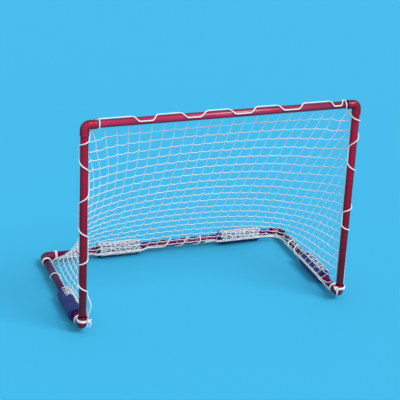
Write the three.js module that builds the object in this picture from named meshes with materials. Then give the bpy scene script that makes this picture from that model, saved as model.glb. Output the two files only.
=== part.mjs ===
// A floating water polo goal: a tube frame with socket elbows, foam float sleeves on the base
// tubes, and a square-mesh net with a border rope, laced on with cord. Millimetres, +Z up.
// The goal is built with the middle of the mouth, at the height of the base tubes, at zero:
// X runs along the crossbar to the right, Y runs back from the mouth. At the end it is moved so
// that zero is the middle of its underside.
import * as THREE from 'three';
import { mergeVertices } from 'three/addons/utils/BufferGeometryUtils.js';

// Frame, measured between the tubes' axes
const mouthWidth = 1219;
const mouthHeight = 922;
const baseDepth = 711;

// Tube, one inch nominal
const pipeDiameter = 33.4;
const pipeWall = 3.4;

// Socket elbow
const bendRadius = 22;
const socketDepth = 24;
const socketWall = 2.6;
const beadHeight = 0.5;
const beadWidth = 5;
const beadChamfer = 0.8;
const socketClearance = 0.3;

// Foam float sleeve, and how far each of the four lies from its nearest corner
const floatDiameter = 70;
const floatLength = 210;
const floatEdge = 5;
const floatClearance = 0.3;
const leftFloatInset = 105;
const rightFloatInset = 170;
const rearLeftFloatInset = 266;
const rearRightFloatInset = 119;

// Cords and twine
const twineWidth = 3;
const ropeDiameter = 4;
const cordDiameter = 5;
const cordClearance = 0.4;
const cordLift = 0.5;
const seamGap = 0.8;

// Net
const mouthCells = 13;
const slopeCells = 12;
const sideCells = 8;
const shoulderCells = 3;
const netSag = 2.2;
const frontCut = 90;
const footCut = 110;
const rearCut = 95;
const ropeBlend = 30;
const ropeFloatMargin = 8;

// Lacing
const barWrapOffset = 56;
const endTurnOffset = 8;
const endTurnPitch = 5.8;
const endTurns = 2;
const footTurnTop = 38;
const footSlack = 14;
const wrapEntry = 9;
const wrapExit = 26;
const cornerRun = 6;
const cornerDepth = 6;
const knotUnit = 3.75;
const knotTail = 20;

// Facets
const pipeSides = 20;
const floatSides = 20;
const ropeSides = 5;
const cordSides = 5;
const bendSteps = 5;
const cornerSteps = 8;
const slackSteps = 6;
const knotSteps = 30;
const cordStepAngle = 30;

const pipeRadius = pipeDiameter / 2;
const floatRadius = floatDiameter / 2;
const ropeRadius = ropeDiameter / 2;
const cordRadius = cordDiameter / 2;
const half = mouthWidth / 2;
const socketEnd = bendRadius + socketDepth;
const ropeOffset = pipeRadius + cordClearance + ropeRadius;
const ropeFloatOffset = floatRadius + cordClearance + ropeRadius;
const ropeDiagonal = ropeOffset * Math.SQRT1_2;
const cordOffset = pipeRadius + cordClearance + cordLift + cordRadius;
const elbowRadius = pipeRadius + socketClearance + socketWall + beadHeight;
const footCordOffset = elbowRadius + cordClearance + cordLift + cordRadius;

// Outer and inner angles, from the front of a tube, between which the mouth lacing crosses
const outerAngle = 110;
const innerAngle = -86;
const topAngle = 104;
const dipAngle = 12;
const barWrapAngle = -78;

// A turn of the base lacing swells out over the border rope within this angle of it
const ropeSwellAngle = 58;
const turnEaseShare = 0.8;

// Where the mouth lacing crosses the front of each tube, as shares of the tube's length
const leftPostCrossingShares = [
  [0.168, 0.234], [0.312, 0.354], [0.446, 0.512], [0.614, 0.684], [0.768, 0.844], [0.900, 0.938],
];
const rightPostCrossingShares = [
  [0.337, 0.379], [0.443, 0.485], [0.639, 0.708], [0.782, 0.857], [0.905, 0.945],
];
const crossbarCrossingShares = [
  [0.161, 0.188], [0.231, 0.259], [0.330, 0.360], [0.402, 0.440], [0.504, 0.534],
  [0.586, 0.621], [0.688, 0.714], [0.766, 0.799], [0.890, 0.905], [0.930, 0.946],
];

const red = 0xb5123a;
const navy = 0x24386f;
const white = 0xf1f1ee;

const goal = new THREE.Group();
const vector = (x, y, z) => new THREE.Vector3(x, y, z);
const radians = THREE.MathUtils.degToRad;

function addPart(name, geometry, color, roughness) {
  const material = new THREE.MeshStandardMaterial({ color, roughness, metalness: 0 });
  const mesh = new THREE.Mesh(geometry, material);
  mesh.name = name;
  goal.add(mesh);
  return mesh;
}

// Joins rings of equal point counts into a closed surface. The last ring meets the first when
// `closed` is set, and flat caps close the ends when it isn't.
function ringSurface(rings, closed) {
  const count = rings[0].length;
  const positions = rings.flat().flatMap((point) => [point.x, point.y, point.z]);
  const indices = [];
  const spans = closed ? rings.length : rings.length - 1;
  for (let ring = 0; ring < spans; ring += 1) {
    const here = ring * count;
    const there = ((ring + 1) % rings.length) * count;
    for (let side = 0; side < count; side += 1) {
      const next = (side + 1) % count;
      indices.push(here + side, here + next, there + side);
      indices.push(there + side, here + next, there + next);
    }
  }
  if (!closed) {
    const last = (rings.length - 1) * count;
    for (let side = 1; side < count - 1; side += 1) {
      indices.push(0, side + 1, side);
      indices.push(last, last + side, last + side + 1);
    }
  }
  const geometry = new THREE.BufferGeometry();
  geometry.setAttribute('position', new THREE.Float32BufferAttribute(positions, 3));
  geometry.setIndex(indices);
  return geometry;
}

// A tube of a given radius along a list of points, with frames that don't twist
function tubeAlong(points, radius, sides, closed) {
  const count = points.length;
  const tangents = points.map((point, index) => {
    const before = closed ? points[(index + count - 1) % count] : points[Math.max(index - 1, 0)];
    const after = closed ? points[(index + 1) % count] : points[Math.min(index + 1, count - 1)];
    const arriving = point.clone().sub(before).normalize();
    const leaving = after.clone().sub(point).normalize();
    return arriving.add(leaving).normalize();
  });
  const start = Math.abs(tangents[0].z) < Math.SQRT1_2 ? vector(0, 0, 1) : vector(1, 0, 0);
  let normal = start.cross(tangents[0]).normalize();
  const rings = points.map((point, index) => {
    const tangent = tangents[index];
    normal = normal.clone().addScaledVector(tangent, -normal.dot(tangent)).normalize();
    const side = tangent.clone().cross(normal);
    return Array.from({ length: sides }, (unused, corner) => {
      const angle = 2 * Math.PI * (corner + 0.5) / sides;
      return point.clone()
        .addScaledVector(normal, radius * Math.cos(angle))
        .addScaledVector(side, radius * Math.sin(angle));
    });
  });
  return ringSurface(rings, closed);
}

// A hollow turned piece along +Z from its outline of [radius, height], flats facing the axes
function turned(outline, sides) {
  const loop = [...outline, outline[0]].map(([radius, height]) => new THREE.Vector2(radius, height));
  const geometry = new THREE.LatheGeometry(loop, sides, Math.PI / sides, 2 * Math.PI);
  geometry.deleteAttribute('normal');
  geometry.deleteAttribute('uv');
  geometry.rotateX(Math.PI / 2);
  return mergeVertices(geometry);
}

// Turns a piece built along +Z so that it runs along `direction`, and starts it at `origin`
function place(mesh, origin, direction) {
  mesh.quaternion.setFromUnitVectors(vector(0, 0, 1), direction);
  mesh.position.copy(origin);
}

// Axes of the six tubes: where each starts, which way it runs, its length, the direction that
// counts as its front, and the direction of a positive angle round it
const tubes = {
  left_post: {
    start: vector(-half, 0, 0), along: vector(0, 0, 1), length: mouthHeight,
    front: vector(0, -1, 0), side: vector(-1, 0, 0),
  },
  right_post: {
    start: vector(half, 0, 0), along: vector(0, 0, 1), length: mouthHeight,
    front: vector(0, -1, 0), side: vector(1, 0, 0),
  },
  crossbar: {
    start: vector(-half, 0, mouthHeight), along: vector(1, 0, 0), length: mouthWidth,
    front: vector(0, -1, 0), side: vector(0, 0, 1),
  },
  left_side_rail: {
    start: vector(-half, 0, 0), along: vector(0, 1, 0), length: baseDepth,
    front: vector(1, 0, 0), side: vector(0, 0, 1),
  },
  right_side_rail: {
    start: vector(half, 0, 0), along: vector(0, 1, 0), length: baseDepth,
    front: vector(-1, 0, 0), side: vector(0, 0, 1),
  },
  rear_rail: {
    start: vector(-half, baseDepth, 0), along: vector(1, 0, 0), length: mouthWidth,
    front: vector(0, -1, 0), side: vector(0, 0, 1),
  },
};

// A point at a distance along a tube, at an angle from its front and a radius from its axis
function around(tube, distance, angle, radius) {
  return tube.start.clone()
    .addScaledVector(tube.along, distance)
    .addScaledVector(tube.front, radius * Math.cos(radians(angle)))
    .addScaledVector(tube.side, radius * Math.sin(radians(angle)));
}

// Tubes: each end stands a clearance off the stop in its socket
for (const [name, tube] of Object.entries(tubes)) {
  const inset = bendRadius + socketClearance;
  const length = tube.length - 2 * inset;
  const bore = pipeRadius - pipeWall;
  const outline = [[pipeRadius, 0], [pipeRadius, length], [bore, length], [bore, 0]];
  const mesh = addPart(name, turned(outline, pipeSides), red, 0.35);
  place(mesh, tube.start.clone().addScaledVector(tube.along, inset), tube.along);
}

// One elbow: its arms run along +X and +Z from the corner, each with a beaded socket whose stop
// is where the bend ends, and a waterway as wide as the tube's bore joins the two sockets
function elbowGeometry() {
  const socket = pipeRadius + socketClearance;
  const barrel = socket + socketWall;
  const bead = elbowRadius;
  const waterway = pipeRadius - pipeWall;
  const ring = (centre, outward, radius) => Array.from({ length: pipeSides }, (unused, corner) => {
    const angle = 2 * Math.PI * (corner + 0.5) / pipeSides;
    return centre.clone()
      .addScaledVector(outward, radius * Math.cos(angle))
      .addScaledVector(vector(0, 1, 0), radius * Math.sin(angle));
  });
  const onFirstArm = (distance, radius) => ring(vector(distance, 0, 0), vector(0, 0, -1), radius);
  const onSecondArm = (distance, radius) => ring(vector(0, 0, distance), vector(-1, 0, 0), radius);
  const onBend = (step, radius) => {
    const angle = Math.PI / 2 * step / bendSteps;
    const outward = vector(-Math.sin(angle), 0, -Math.cos(angle));
    const centre = vector(bendRadius, 0, bendRadius).addScaledVector(outward, bendRadius);
    return ring(centre, outward, radius);
  };
  const outside = [
    [socketEnd, bead - beadChamfer],
    [socketEnd - beadChamfer, bead],
    [socketEnd - beadWidth, bead],
    [socketEnd - beadWidth - beadHeight, barrel],
    [bendRadius, barrel],
  ];
  const inside = [[bendRadius, waterway], [bendRadius, socket], [socketEnd, socket]];
  const steps = Array.from({ length: bendSteps - 1 }, (unused, index) => index + 1);
  const rings = [
    ...outside.map(([distance, radius]) => onFirstArm(distance, radius)),
    ...steps.map((step) => onBend(step, barrel)),
    ...outside.toReversed().map(([distance, radius]) => onSecondArm(distance, radius)),
    ...inside.toReversed().map(([distance, radius]) => onSecondArm(distance, radius)),
    ...steps.toReversed().map((step) => onBend(step, waterway)),
    ...inside.map(([distance, radius]) => onFirstArm(distance, radius)),
  ];
  return ringSurface(rings.toReversed(), true);
}

const elbows = {
  top_left_elbow: [vector(-half, 0, mouthHeight), vector(1, 0, 0), vector(0, 0, -1)],
  top_right_elbow: [vector(half, 0, mouthHeight), vector(-1, 0, 0), vector(0, 0, -1)],
  front_left_elbow: [vector(-half, 0, 0), vector(0, 1, 0), vector(0, 0, 1)],
  front_right_elbow: [vector(half, 0, 0), vector(0, 1, 0), vector(0, 0, 1)],
  rear_left_elbow: [vector(-half, baseDepth, 0), vector(0, -1, 0), vector(1, 0, 0)],
  rear_right_elbow: [vector(half, baseDepth, 0), vector(0, -1, 0), vector(-1, 0, 0)],
};
for (const [name, [corner, firstArm, secondArm]] of Object.entries(elbows)) {
  const mesh = addPart(name, elbowGeometry(), red, 0.3);
  const across = secondArm.clone().cross(firstArm);
  mesh.quaternion.setFromRotationMatrix(new THREE.Matrix4().makeBasis(firstArm, across, secondArm));
  mesh.position.copy(corner);
}

// Foam floats: sleeves with softened edges, pushed on to the base tubes
const floats = {
  left_float: [tubes.left_side_rail, leftFloatInset],
  right_float: [tubes.right_side_rail, rightFloatInset],
  rear_left_float: [tubes.rear_rail, rearLeftFloatInset],
  rear_right_float: [tubes.rear_rail, mouthWidth - rearRightFloatInset - floatLength],
};
for (const [name, [tube, distance]] of Object.entries(floats)) {
  const bore = pipeRadius + floatClearance;
  const soft = floatEdge * (1 - Math.SQRT1_2);
  const nearEnd = [
    [bore, 0], [floatRadius - floatEdge, 0], [floatRadius - soft, soft], [floatRadius, floatEdge],
  ];
  const farEnd = nearEnd.map(([radius, height]) => [radius, floatLength - height]).toReversed();
  const mesh = addPart(name, turned([...nearEnd, ...farEnd], floatSides), navy, 0.8);
  place(mesh, tube.start.clone().addScaledVector(tube.along, distance), tube.along);
}

// The border rope's route: inside and behind the mouth tubes, along the inner side of the rails
// and floats, and cutting each corner in a curve
function corner(before, control, after, steps) {
  const curve = new THREE.QuadraticBezierCurve3(before, control, after);
  return curve.getPoints(steps);
}

// How far the rope stands off a rail's axis, which grows where the rope passes a float
function ropeStandOff(distance, floatStarts, fromStart) {
  let share = 0;
  for (const start of floatStarts) {
    const near = start - ropeFloatMargin - distance;
    const far = distance - start - floatLength - ropeFloatMargin;
    const outside = Math.max(fromStart ? far : Math.max(near, far), 0);
    share = Math.max(share, 1 - THREE.MathUtils.smoothstep(outside, 0, ropeBlend));
  }
  return THREE.MathUtils.lerp(ropeOffset, ropeFloatOffset, share);
}

const blendStopShares = [0, 0.3, 0.7, 1];

// Distances along a rail at which the rope's stand-off changes
function ropeStops(floatStarts, from, to) {
  const stops = [from, to];
  for (const start of floatStarts) {
    for (const share of blendStopShares) {
      stops.push(start - ropeFloatMargin - ropeBlend * share);
      stops.push(start + floatLength + ropeFloatMargin + ropeBlend * share);
    }
  }
  return stops.filter((stop) => stop >= from && stop <= to).sort((a, b) => a - b);
}

const rearFloatStarts = [floats.rear_left_float[1], floats.rear_right_float[1]];

// One side of the rope, from the middle of the top corner to the middle of the rear corner
function sideRope(tube, post, floatStart) {
  const inward = tube.front;
  const top = vector(post.start.x, ropeDiagonal, mouthHeight - ropeDiagonal)
    .addScaledVector(inward, ropeDiagonal);
  const down = top.clone().setZ(top.z - frontCut);
  const across = top.clone().addScaledVector(inward, frontCut);
  const foot = top.clone().setZ(footCut);
  const knee = around(tube, ropeDiagonal, 0, ropeFloatOffset);
  const railStart = ropeDiagonal + footCut;
  const railEnd = baseDepth - ropeOffset - rearCut;
  const rail = ropeStops([floatStart], railStart, railEnd)
    .map((stop) => around(tube, stop, 0, ropeStandOff(stop, [floatStart], true)));
  const beyondX = tube.start.x + (ropeOffset + rearCut) * inward.x;
  const beyondOffset = ropeStandOff(beyondX + half, rearFloatStarts, false);
  const rear = around(tube, baseDepth - beyondOffset, 0, ropeOffset);
  const beyond = rear.clone().setX(beyondX);
  return {
    top: corner(across, top, down, cornerSteps),
    post: [down, foot],
    foot: corner(foot, knee, rail[0], cornerSteps),
    rail,
    rear: corner(rail.at(-1), rear, beyond, cornerSteps),
  };
}

const leftRope = sideRope(tubes.left_side_rail, tubes.left_post, leftFloatInset);
const rightRope = sideRope(tubes.right_side_rail, tubes.right_post, rightFloatInset);
const rearRopeStart = ropeOffset + rearCut;
const rearRope = ropeStops(rearFloatStarts, rearRopeStart, mouthWidth - rearRopeStart)
  .map((stop) => around(tubes.rear_rail, stop, 0, ropeStandOff(stop, rearFloatStarts, false)));

// Points in order without neighbours that coincide
function chain(...lists) {
  const points = [];
  for (const point of lists.flat()) {
    if (points.length === 0 || points.at(-1).distanceTo(point) > cordClearance) {
      points.push(point);
    }
  }
  return points;
}

const ropePath = chain(
  leftRope.top, leftRope.post, leftRope.foot, leftRope.rail, leftRope.rear, rearRope,
  rightRope.rear.toReversed(), rightRope.rail.toReversed(), rightRope.foot.toReversed(),
  rightRope.post.toReversed(), rightRope.top.toReversed(),
);
addPart('border_rope', tubeAlong(ropePath, ropeRadius, ropeSides, true), white, 0.7);

// Points spaced evenly along a path, ends included
function spaced(path, cells) {
  const lengths = [0];
  for (let index = 1; index < path.length; index += 1) {
    lengths.push(lengths.at(-1) + path[index].distanceTo(path[index - 1]));
  }
  return Array.from({ length: cells + 1 }, (unused, cell) => {
    const wanted = lengths.at(-1) * cell / cells;
    let index = 1;
    while (index < path.length - 1 && lengths[index] < wanted) {
      index += 1;
    }
    const share = (wanted - lengths[index - 1]) / (lengths[index] - lengths[index - 1]);
    return path[index - 1].clone().lerp(path[index], THREE.MathUtils.clamp(share, 0, 1));
  });
}

// Splits a corner at its middle, so that each half belongs to the stretch next to it
const firstHalf = (points) => points.slice(0, (points.length + 1) / 2);
const secondHalf = (points) => points.slice((points.length - 1) / 2);

// The net's fixed points down a post, and back along a rail from the foot to the rear corner
function sideBorder(rope) {
  const post = chain(secondHalf(rope.top), rope.post, firstHalf(rope.foot));
  const rail = chain(secondHalf(rope.foot), rope.rail, firstHalf(rope.rear));
  return { post: spaced(post, slopeCells), rail: spaced(rail, sideCells) };
}

const leftBorder = sideBorder(leftRope);
const rightBorder = sideBorder(rightRope);
const topBorder = spaced(
  chain(firstHalf(leftRope.top).toReversed(), firstHalf(rightRope.top)), mouthCells,
);
const rearBorder = spaced(
  chain(secondHalf(leftRope.rear), rearRope, secondHalf(rightRope.rear).toReversed()), mouthCells,
);
const bottomBorder = [
  ...leftBorder.rail.slice(0, -1), ...rearBorder, ...rightBorder.rail.toReversed().slice(1),
];

// The net's mesh: rows run across from post to post, and gain cells at both ends down the posts,
// so that the lowest row has a mesh for each stretch of the side rails too
const flare = Array.from(
  { length: slopeCells + 1 }, (unused, row) => Math.round(sideCells * row / slopeCells),
);
const knots = new Map();
const keyOf = (row, column) => `${row} ${column}`;
const knotAt = (row, column) => knots.get(keyOf(row, column));

for (let row = 0; row <= slopeCells; row += 1) {
  for (let column = -flare[row]; column <= mouthCells + flare[row]; column += 1) {
    let border = null;
    if (row === 0) {
      border = topBorder[column];
    } else if (row === slopeCells) {
      border = bottomBorder[column + sideCells];
    } else if (column === -flare[row]) {
      border = leftBorder.post[row];
    } else if (column === mouthCells + flare[row]) {
      border = rightBorder.post[row];
    }
    const middle = vector((column / mouthCells - 0.5) * mouthWidth, baseDepth / 2, mouthHeight / 2);
    const point = (border ?? middle).clone();
    knots.set(keyOf(row, column), { row, column, point, fixed: border !== null, strands: [] });
  }
}
const strands = [];
for (const knot of knots.values()) {
  for (const other of [knotAt(knot.row, knot.column + 1), knotAt(knot.row + 1, knot.column)]) {
    if (other) {
      const strand = { ends: [knot, other], pull: 1 };
      strands.push(strand);
      knot.strands.push(strand);
      other.strands.push(strand);
    }
  }
}

// The net hangs where every knot is pulled evenly by its strands and a little by its weight.
// Longer strands then pull harder, in a few rounds, until the meshes are nearly alike.
const evenRounds = 6;
const settleSweeps = 220;
const evenPower = 0.5;
const meanLength = () => strands.reduce(
  (sum, { ends }) => sum + ends[0].point.distanceTo(ends[1].point), 0,
) / strands.length;

for (let round = 0; round <= evenRounds; round += 1) {
  for (let sweep = 0; sweep < settleSweeps; sweep += 1) {
    for (const knot of knots.values()) {
      if (!knot.fixed) {
        const sum = vector(0, 0, -netSag);
        let weight = 0;
        for (const { ends, pull } of knot.strands) {
          sum.addScaledVector(ends[0] === knot ? ends[1].point : ends[0].point, pull);
          weight += pull;
        }
        knot.point.copy(sum.divideScalar(weight));
      }
    }
  }
  const wanted = meanLength();
  for (const strand of strands) {
    const length = strand.ends[0].point.distanceTo(strand.ends[1].point);
    strand.pull *= (length / wanted) ** evenPower;
  }
}

// The knots on the border stop short of the rope, towards the net
const twineHalf = twineWidth / 2;
const ropeToKnot = ropeRadius + twineHalf * Math.sqrt(3) + cordClearance;
for (const knot of knots.values()) {
  if (knot.fixed) {
    const inward = vector(0, 0, 0);
    for (const { ends } of knot.strands) {
      const other = ends[0] === knot ? ends[1] : ends[0];
      if (!other.fixed) {
        inward.add(other.point.clone().sub(knot.point).normalize());
      }
    }
    knot.inward = inward.normalize();
  }
}
for (const knot of knots.values()) {
  if (knot.fixed) {
    knot.point.addScaledVector(knot.inward, ropeToKnot);
  }
}

// The directions along the rows and columns at a knot
function meshAxes(knot) {
  const towards = (before, after) => {
    const from = before ?? knot;
    const to = after ?? knot;
    return to.point.clone().sub(from.point).normalize();
  };
  const { row, column } = knot;
  const acrossAxis = towards(knotAt(row, column - 1), knotAt(row, column + 1));
  const down = towards(knotAt(row - 1, column), knotAt(row + 1, column));
  return { across: acrossAxis, down, out: acrossAxis.clone().cross(down).normalize() };
}

// One panel of the net as a single lattice: each knot is a small block whose four sides either
// run on as a strand or are closed. It holds the columns from first to last, and on the side
// nearer the middle of the net, if `seam` says so, its rows run on to the next panel.
function netPanel(firstColumn, lastColumn, seam) {
  const owns = ({ column }) => column >= firstColumn && column <= lastColumn;
  const positions = [];
  const indices = [];
  const blocks = new Map();
  const quad = (a, b, c, d) => indices.push(a, b, c, a, c, d);
  const addBlock = (key, point, { across, down, out }) => {
    const first = positions.length / 3;
    for (const layer of [-1, 1]) {
      for (const [right, below] of [[-1, -1], [1, -1], [1, 1], [-1, 1]]) {
        const vertex = point.clone()
          .addScaledVector(across, right * twineHalf)
          .addScaledVector(down, below * twineHalf)
          .addScaledVector(out, layer * twineHalf);
        positions.push(vertex.x, vertex.y, vertex.z);
      }
    }
    quad(first, first + 3, first + 2, first + 1);
    quad(first + 4, first + 5, first + 6, first + 7);
    const block = { first, open: { up: true, right: true, down: true, left: true } };
    blocks.set(key, block);
    return block;
  };
  const sideCorners = { up: [0, 1], right: [1, 2], down: [2, 3], left: [3, 0] };
  const join = (from, fromSide, to, toSide) => {
    const [a, b] = sideCorners[fromSide].map((index) => from.first + index);
    const [c, d] = sideCorners[toSide].map((index) => to.first + index);
    quad(a, b, c, d);
    quad(b + 4, a + 4, d + 4, c + 4);
    quad(b, b + 4, c + 4, c);
    quad(a + 4, a, d, d + 4);
    from.open[fromSide] = false;
    to.open[toSide] = false;
  };
  for (const strand of strands) {
    const [from, to] = strand.ends;
    const onRail = from.fixed && to.fixed && to.row === slopeCells;
    const whole = owns(from) && owns(to);
    const crossesSeam = (seam < 0 && owns(to) && !owns(from)) || (seam > 0 && owns(from) && !owns(to));
    if (!onRail && (whole || crossesSeam)) {
      const blockOf = (knot, other) => {
        const key = keyOf(knot.row, knot.column);
        if (owns(knot)) {
          return blocks.get(key) ?? addBlock(key, knot.point, meshAxes(knot));
        }
        const axes = meshAxes(knot);
        const away = other.point.clone().sub(knot.point).normalize();
        const face = axes.down.clone().cross(axes.out).normalize();
        const width = twineWidth * Math.abs(axes.across.dot(face));
        const reach = (width + seamGap) / Math.abs(away.dot(face));
        return addBlock(`${key} seam`, knot.point.clone().addScaledVector(away, reach), axes);
      };
      const sides = from.row === to.row ? ['right', 'left'] : ['down', 'up'];
      join(blockOf(from, to), sides[0], blockOf(to, from), sides[1]);
    }
  }
  for (const { first, open } of blocks.values()) {
    for (const [name, [a, b]] of Object.entries(sideCorners)) {
      if (open[name]) {
        quad(first + a, first + b, first + b + 4, first + a + 4);
      }
    }
  }
  const geometry = new THREE.BufferGeometry();
  geometry.setAttribute('position', new THREE.Float32BufferAttribute(positions, 3));
  geometry.setIndex(indices);
  return geometry;
}

const panels = {
  net_left: [-sideCells, -1, 1],
  net_left_shoulder: [0, shoulderCells - 1, 1],
  net_back: [shoulderCells, mouthCells - shoulderCells, 0],
  net_right_shoulder: [mouthCells - shoulderCells + 1, mouthCells, -1],
  net_right: [mouthCells + 1, mouthCells + sideCells, -1],
};
for (const [name, [first, last, seam]] of Object.entries(panels)) {
  addPart(name, netPanel(first, last, seam), white, 0.8);
}

// Mouth lacing. It runs along one side of a tube, crosses its front to the other side and runs
// on there, so each stretch is a list of [distance, angle] stations on the tube.
function crossings(tube, shares, firstAngle, otherAngle) {
  const stations = [];
  let [here, there] = [firstAngle, otherAngle];
  for (const [from, to] of shares) {
    stations.push([from * tube.length, here], [to * tube.length, there]);
    [here, there] = [there, here];
  }
  return stations;
}

// The cord's points between stations: a straight run where the angle stays, and an eased turn
// round the tube where it changes
const crossingEaseShare = 0.5;

function onTube(tube, stations, easeShare, offset = cordOffset) {
  const points = [];
  for (let index = 1; index < stations.length; index += 1) {
    const [distance, angle] = stations[index - 1];
    const [nextDistance, nextAngle] = stations[index];
    const steps = Math.max(Math.round(Math.abs(nextAngle - angle) / cordStepAngle), 1);
    for (let step = 0; step <= steps; step += 1) {
      const share = step / steps;
      const eased = THREE.MathUtils.smoothstep(share, 0, 1);
      const turn = THREE.MathUtils.lerp(share, eased, easeShare);
      const angleHere = THREE.MathUtils.lerp(angle, nextAngle, turn);
      const here = THREE.MathUtils.lerp(distance, nextDistance, share);
      points.push(around(tube, here, angleHere, offset));
    }
  }
  return points;
}

// Close turns round a tube at a cord's tied end, from where the cord comes in
const endTurnStart = socketEnd + endTurnOffset;
const endTurnReach = endTurns * endTurnPitch;
const endTurnEnd = endTurnStart + endTurnReach;

function closeTurns(tube, distance, angle, way, offset = cordOffset) {
  const tied = [distance + way * endTurnReach, angle + way * endTurns * 360];
  return onTube(tube, [[distance, angle], tied], 0, offset);
}

// The cord's slack stretch from the turns on the left post's fitting up to its first crossing
function slackRun(post, from, to, angle) {
  return Array.from({ length: slackSteps + 1 }, (unused, step) => {
    const share = step / slackSteps;
    const offset = THREE.MathUtils.lerp(footCordOffset, cordOffset, share);
    const bulge = footSlack * Math.sin(Math.PI * share) ** 2;
    return around(post, THREE.MathUtils.lerp(from, to, share), angle, offset + bulge);
  });
}

// The cord's way across the inside of a top corner, from the post to the crossbar
function topCorner(inwardX) {
  const clear = elbowRadius + cordClearance + cordRadius;
  const at = (run, drop, back) => vector(inwardX * (run - half), back, mouthHeight - drop);
  return [
    at(clear, socketEnd, cornerDepth / 2),
    at(clear, clear + cornerRun, cornerDepth),
    at(clear + cornerRun, clear, cornerDepth),
    at(socketEnd, clear, cornerDepth / 2),
  ];
}

const barWrapEnd = barWrapOffset + cordDiameter;
const mouthLacing = chain(
  closeTurns(tubes.left_post, footTurnTop, innerAngle, -1, footCordOffset).toReversed(),
  slackRun(tubes.left_post, footTurnTop, leftPostCrossingShares[0][0] * mouthHeight, innerAngle),
  onTube(tubes.left_post, crossings(
    tubes.left_post, leftPostCrossingShares, innerAngle, outerAngle,
  ), crossingEaseShare),
  topCorner(1),
  onTube(tubes.crossbar, [
    [barWrapOffset, barWrapAngle],
    [barWrapEnd, topAngle],
    ...crossings(tubes.crossbar, crossbarCrossingShares, topAngle, dipAngle),
    [mouthWidth - barWrapEnd, topAngle],
    [mouthWidth - barWrapOffset, barWrapAngle],
  ], crossingEaseShare),
  topCorner(-1).toReversed(),
  onTube(tubes.right_post, crossings(
    tubes.right_post, rightPostCrossingShares, outerAngle, innerAngle,
  ), crossingEaseShare).toReversed(),
  closeTurns(tubes.right_post, footTurnTop, outerAngle, -1, footCordOffset),
);

// Base lacing. It runs below the border rope past floats and corners, and goes once round tube
// and rope together in each mesh where the rope lies on a bare tube.
const belowRope = ropeRadius + cordRadius + cordClearance + cordLift;
const belowAngle = -THREE.MathUtils.radToDeg(Math.asin(belowRope / cordOffset));
const lowered = (points) => points.map((point) => point.clone().setZ(point.z - belowRope));

function wrapRadius(angle) {
  const turn = Math.abs(THREE.MathUtils.euclideanModulo(angle + 180, 360) - 180);
  const share = Math.min(turn / ropeSwellAngle, 1);
  const swell = 2 * (ropeRadius + cordClearance);
  return cordOffset + swell * Math.cos(share * Math.PI / 2) ** 2;
}

// The turns on a bare stretch of a tube, one in the middle of each mesh of the net's border
function borderTurns(tube, border, from, to) {
  const places = border.map((point) => point.clone().sub(tube.start).dot(tube.along));
  const middles = places.slice(1).map((place, index) => (place + places[index]) / 2)
    .filter((middle) => middle > from + wrapEntry && middle < to - wrapExit);
  const points = [];
  const steps = Math.round(360 / cordStepAngle);
  for (const [index, middle] of middles.entries()) {
    const last = index === middles.length - 1;
    const next = last ? middle + wrapExit : middles[index + 1];
    const span = last ? 360 + belowAngle : 360;
    if (index === 0) {
      points.push(around(tube, middle - wrapEntry, belowAngle, wrapRadius(belowAngle)));
    }
    for (let step = 0; step <= steps; step += 1) {
      const share = step / steps;
      const easing = last ? 0 : turnEaseShare * Math.sin(2 * Math.PI * share) / (2 * Math.PI);
      const distance = THREE.MathUtils.lerp(middle, next, share - easing);
      points.push(around(tube, distance, span * share, wrapRadius(span * share)));
    }
  }
  return points;
}

// The cord along a rail: under the rope beside each float, and turning round tube and rope on
// the bare stretches between
const floatReach = ropeFloatMargin + ropeBlend;

function railLacing(tube, border, floatStarts, ropeFrom, ropeTo, to) {
  const under = (stops) => lowered(stops.map(
    (stop) => around(tube, stop, 0, ropeStandOff(stop, floatStarts, false)),
  ));
  const points = [];
  let bareFrom = ropeFrom;
  for (const start of floatStarts) {
    const floatEnd = start + floatLength + floatReach;
    const stopFrom = Math.max(start - floatReach, endTurnEnd);
    points.push(...borderTurns(tube, border, bareFrom, start - floatReach));
    points.push(...under(ropeStops([start], stopFrom, Math.min(floatEnd, to))));
    bareFrom = floatEnd;
  }
  points.push(...borderTurns(tube, border, bareFrom, ropeTo));
  return points;
}

const sideRopeFrom = ropeDiagonal + footCut;
const sideRopeTo = baseDepth - ropeOffset - rearCut;
const rearRopeTo = mouthWidth - rearRopeStart;
const leftRailTied = baseDepth - endTurnEnd;
const leftLacing = chain(
  closeTurns(tubes.left_side_rail, endTurnEnd, belowAngle, -1).toReversed(),
  railLacing(
    tubes.left_side_rail, leftBorder.rail, [leftFloatInset], sideRopeFrom, sideRopeTo, leftRailTied,
  ),
  closeTurns(tubes.left_side_rail, leftRailTied, belowAngle, 1),
);
const rearAndRightLacing = chain(
  closeTurns(tubes.rear_rail, endTurnEnd, belowAngle, -1).toReversed(),
  railLacing(
    tubes.rear_rail, rearBorder, rearFloatStarts, rearRopeStart, rearRopeTo, rearRopeTo,
  ),
  lowered(rightRope.rear.toReversed()),
  railLacing(
    tubes.right_side_rail, rightBorder.rail, [rightFloatInset], sideRopeFrom, sideRopeTo, sideRopeTo,
  ).toReversed(),
  closeTurns(tubes.right_side_rail, endTurnEnd, belowAngle, -1),
);

// An overhand knot with its two tails hanging, lying on the close turns at the foot of a post.
// The knot is three lobes of one curve, opened at the lowest.
const knotOpenShare = 0.11;
const knotDepthShare = 1.6;
const knotDepth = knotUnit * knotDepthShare;
const knotOffset = footCordOffset + cordDiameter + knotDepth - cordLift - cordClearance;

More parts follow.
